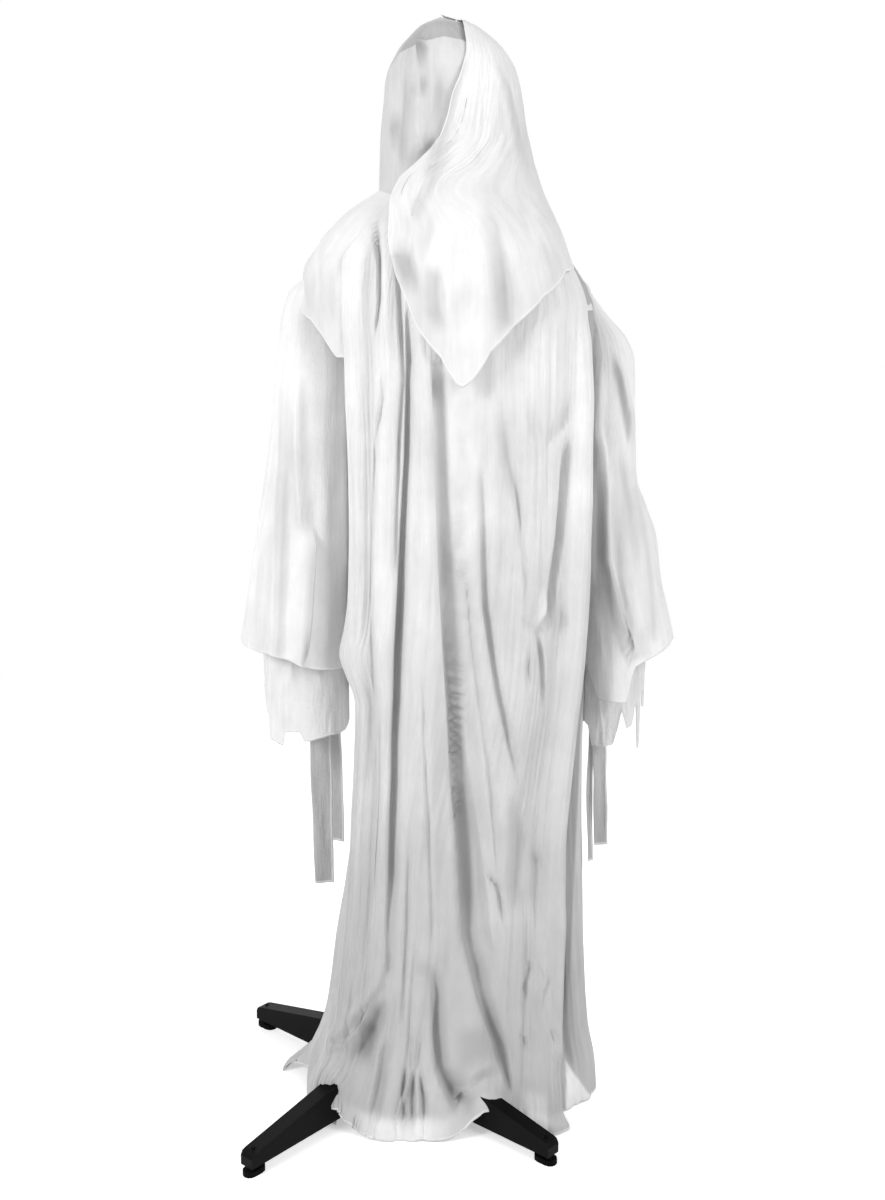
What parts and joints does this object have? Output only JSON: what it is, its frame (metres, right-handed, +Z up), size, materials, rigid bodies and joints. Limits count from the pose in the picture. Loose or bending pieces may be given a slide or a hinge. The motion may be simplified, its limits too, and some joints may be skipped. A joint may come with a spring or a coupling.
{
  "type": "animated ghost figure",
  "caption": "Life-size robed ghost figure on a four-legged stand, with a turning waist and head, lifting arms, a veil, cape, wide sleeves and a floor-length pleated robe.",
  "frame": {"origin": "on the floor under the spine, which is the middle of the overall width and depth", "axes": "+Z up; the figure faces -Y, and +X is its left"},
  "size_m": [0.7961, 0.5686, 1.98],
  "materials": {
    "black_plastic": "black moulded plastic",
    "pad_rubber": "black moulded pad",
    "grey_plastic": "dark grey moulded plastic",
    "nylon": "natural nylon",
    "bright_steel": "zinc-plated steel",
    "black_steel": "black powder-coated steel",
    "form_plastic": "white blow-moulded plastic",
    "face_plastic": "pale painted plastic",
    "lamp": "clear blue-white lamp lens",
    "button_red": "red push button",
    "board": "green circuit board",
    "cell": "wrapped battery cell",
    "cable": "black cable sheath",
    "white_gauze": "thin white semi-sheer gauze",
    "grey_gauze": "thin white gauze shaded grey towards the hem"
  },
  "bodies": {
    "stand": {"stand_hub": "black_plastic", "leg_1": "black_plastic", "leg_2": "black_plastic", "leg_3": "black_plastic", "leg_4": "black_plastic", "foot_pad_1": "pad_rubber", "foot_pad_2": "pad_rubber", "foot_pad_3": "pad_rubber", "foot_pad_4": "pad_rubber", "lower_mast": "black_steel", "upper_mast": "black_steel", "case_back": "grey_plastic", "case_front": "grey_plastic", "circuit_board": "board", "speaker": "black_steel", "try_button_spring": "bright_steel", "battery_1": "cell", "battery_2": "cell", "waist_housing": "black_steel", "waist_cover": "black_steel", "upper_spine_bush": "nylon", "waist_motor": "black_steel", "motor_cable": "cable", "skirt": "grey_gauze"},
    "torso": {"waist_sector": "nylon", "spine_tube": "black_steel", "chest_frame": "bright_steel", "shoulder_form_front": "form_plastic", "shoulder_form_back": "form_plastic", "shaft_bush_left": "nylon", "shaft_bush_right": "nylon", "neck_plate": "bright_steel", "arm_motor": "black_steel", "head_motor": "black_steel", "robe_upper": "white_gauze", "shoulder_cape": "white_gauze", "veil_back": "white_gauze"},
    "head": {"neck_shaft": "bright_steel", "head_gear": "nylon", "head_back": "form_plastic", "head_face": "face_plastic", "eye_lamps": "lamp", "veil_hood": "white_gauze"},
    "arms": {"arm_shaft": "bright_steel", "arm_sector": "nylon", "left_arm_tube": "black_steel", "right_arm_tube": "black_steel", "left_hand": "face_plastic", "right_hand": "face_plastic", "left_sleeve": "white_gauze", "right_sleeve": "white_gauze", "left_undersleeve": "grey_gauze", "right_undersleeve": "grey_gauze"},
    "waist_drive_pinion": {"waist_pinion": "nylon"},
    "head_drive_pinion": {"head_pinion": "nylon"},
    "arm_drive_pinion": {"arm_pinion": "nylon"},
    "switch_knob": {"power_switch": "black_plastic"},
    "push_button": {"try_button": "button_red"},
    "door": {"battery_door": "grey_plastic"},
    "snap_button": {"mast_snap_button": "bright_steel"}
  },
  "joints": [
    {"name": "waist_turn", "type": "hinge", "parent": "stand", "child": "torso", "pos_m": [0, 0, 0.93], "axis": [0, 0, 1], "range_deg": [-20, 20]},
    {"name": "head_turn", "type": "hinge", "parent": "torso", "child": "head", "pos_m": [0, 0, 1.61], "axis": [0, 0, 1], "range_deg": [-30, 30]},
    {"name": "arms_raise", "type": "hinge", "parent": "torso", "child": "arms", "pos_m": [0, -0.028, 1.462], "axis": [-1, 0, 0], "range_deg": [-5, 25]},
    {"name": "waist_pinion_spin", "type": "hinge", "parent": "stand", "child": "waist_drive_pinion", "pos_m": [0.054, 0, 0.927], "axis": [0, 0, 1], "range_deg": [-58, 58]},
    {"name": "head_pinion_spin", "type": "hinge", "parent": "torso", "child": "head_drive_pinion", "pos_m": [-0.054, 0, 1.609], "axis": [0, 0, 1], "range_deg": [-86, 86]},
    {"name": "arm_pinion_spin", "type": "hinge", "parent": "torso", "child": "arm_drive_pinion", "pos_m": [0.034, -0.06618, 1.42382], "axis": [-1, 0, 0], "range_deg": [-72, 15]},
    {"name": "power_slide", "type": "slide", "parent": "stand", "child": "switch_knob", "axis": [0, 0, 1], "range_m": [0, 0.005]},
    {"name": "try_button_push", "type": "slide", "parent": "stand", "child": "push_button", "axis": [0, -1, 0], "range_m": [0, 0.003], "stiffness_N_per_m": 400, "springref_m": -0.002, "deforming": ["try_button_spring"]},
    {"name": "battery_door_swing", "type": "hinge", "parent": "stand", "child": "door", "pos_m": [0.1, 0.0701, 0.6432], "axis": [-1, 0, 0], "range_deg": [0, 100]},
    {"name": "mast_snap_push", "type": "slide", "parent": "stand", "child": "snap_button", "axis": [0, -1, 0], "range_m": [0, 0.004], "stiffness_N_per_m": 1500, "springref_m": -0.002}
  ],
  "couplings": [
    {"joint": "waist_pinion_spin", "follows": "waist_turn", "ratio": -2.8571},
    {"joint": "head_pinion_spin", "follows": "head_turn", "ratio": -2.8571},
    {"joint": "arm_pinion_spin", "follows": "arms_raise", "ratio": -2.8571}
  ]
}
